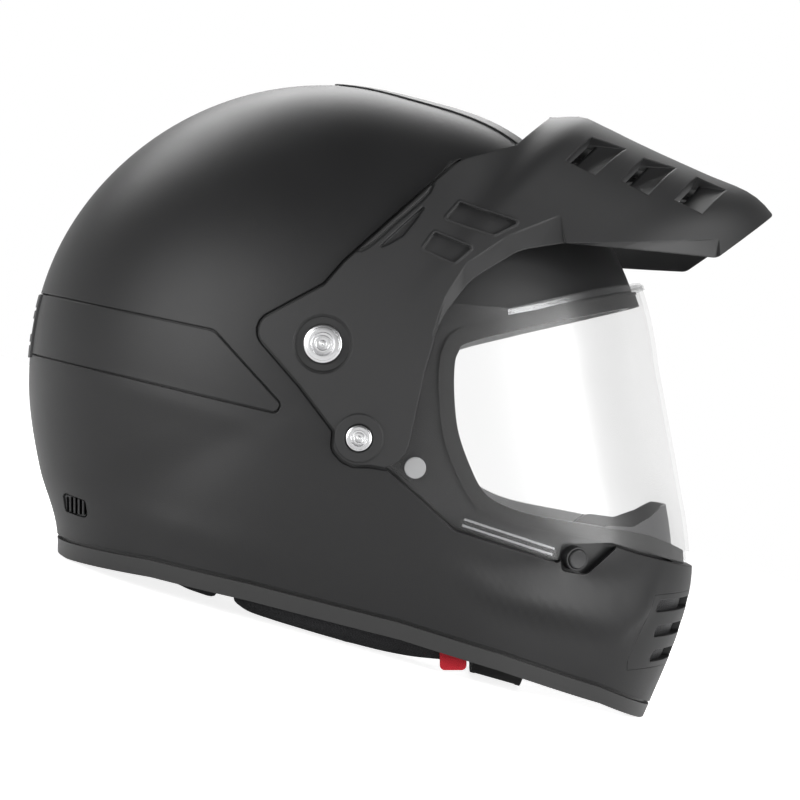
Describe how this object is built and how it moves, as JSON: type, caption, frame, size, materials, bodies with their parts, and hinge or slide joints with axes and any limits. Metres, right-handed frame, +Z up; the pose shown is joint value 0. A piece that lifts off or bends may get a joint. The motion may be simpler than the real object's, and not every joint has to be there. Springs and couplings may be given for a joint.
{
  "type": "full face helmet",
  "caption": "Full face helmet with a bolted peak, a lifting clear shield, vents, padded lining and a chin strap with D rings.",
  "frame": {"origin": "middle of the helmet's footprint, on the floor that it stands on", "axes": "+X towards the wearer's front, +Y towards the wearer's left, +Z up; the helmet stands tipped back on its base"},
  "size_m": [0.3605, 0.2572, 0.2852],
  "materials": {
    "shell": "matte painted",
    "peak": "matte painted",
    "vent_plastic": "moulded, fine grain",
    "mesh": "dark woven mesh",
    "trim_rubber": "satin",
    "seal_rubber": "matte",
    "guard": "matte grey",
    "clear": "clear moulded sheet",
    "mechanism": "moulded",
    "alloy": "turned, satin",
    "latch": "satin",
    "brass": "knurled",
    "foam": "expanded bead foam",
    "lining": "brushed knit",
    "red_fabric": "woven tape",
    "webbing": "woven webbing",
    "steel": "plated wire"
  },
  "bodies": {
    "helmet": {"outer_shell": "shell", "rear_panel": "shell", "rear_vent_grille": "vent_plastic", "rear_vent_mesh": "mesh", "crown_fairing": "shell", "base_trim": "trim_rubber", "eye_port_gasket": "seal_rubber", "neck_vent_left": "vent_plastic", "neck_vent_right": "vent_plastic", "chin_vent_frame": "vent_plastic", "chin_vent_mesh": "mesh", "breath_guard": "guard", "peak": "peak", "peak_screws_upper": "alloy", "peak_screws_lower": "alloy", "peak_inserts": "brass", "shield_base_left": "mechanism", "shield_base_right": "mechanism", "shield_pivot_screws": "alloy", "lock_housing_left": "mechanism", "lock_housing_right": "mechanism", "eps_liner": "foam", "chin_foam": "foam", "crown_liner": "lining", "cheek_pad_left": "lining", "cheek_pad_right": "lining", "neck_roll": "lining", "pad_pull_tab_left": "red_fabric", "pad_pull_tab_right": "red_fabric", "chin_strap_left": "webbing", "chin_strap_right": "webbing", "strap_anchors": "steel", "strap_snap": "steel"},
    "shield": {"shield": "clear", "shield_hub_left": "mechanism", "shield_hub_right": "mechanism", "shield_latch_left": "latch", "shield_latch_right": "latch"},
    "lock_button_left": {"lock_button_left": "mechanism"},
    "lock_button_right": {"lock_button_right": "mechanism"},
    "d_rings": {"d_ring_upper": "steel", "d_ring_lower": "steel"}
  },
  "joints": [
    {"name": "shield_hinge", "type": "hinge", "parent": "helmet", "child": "shield", "pos_m": [-0.0181, 0, 0.12063], "axis": [0, -1, 0], "range_deg": [0, 42]},
    {"name": "lock_slide_left", "type": "slide", "parent": "helmet", "child": "lock_button_left", "axis": [-0.4213, -0.9067, 0.0187], "range_m": [0, 0.0015], "stiffness_N_per_m": 500, "springref_m": -0.002},
    {"name": "lock_slide_right", "type": "slide", "parent": "helmet", "child": "lock_button_right", "axis": [-0.4213, 0.9067, 0.0187], "range_m": [0, 0.0015], "stiffness_N_per_m": 500, "springref_m": -0.002},
    {"name": "ring_hinge", "type": "hinge", "parent": "helmet", "child": "d_rings", "pos_m": [0.0933, 0.019, 0.0062], "axis": [-1, 0, 0], "range_deg": [0, 60]}
  ]
}
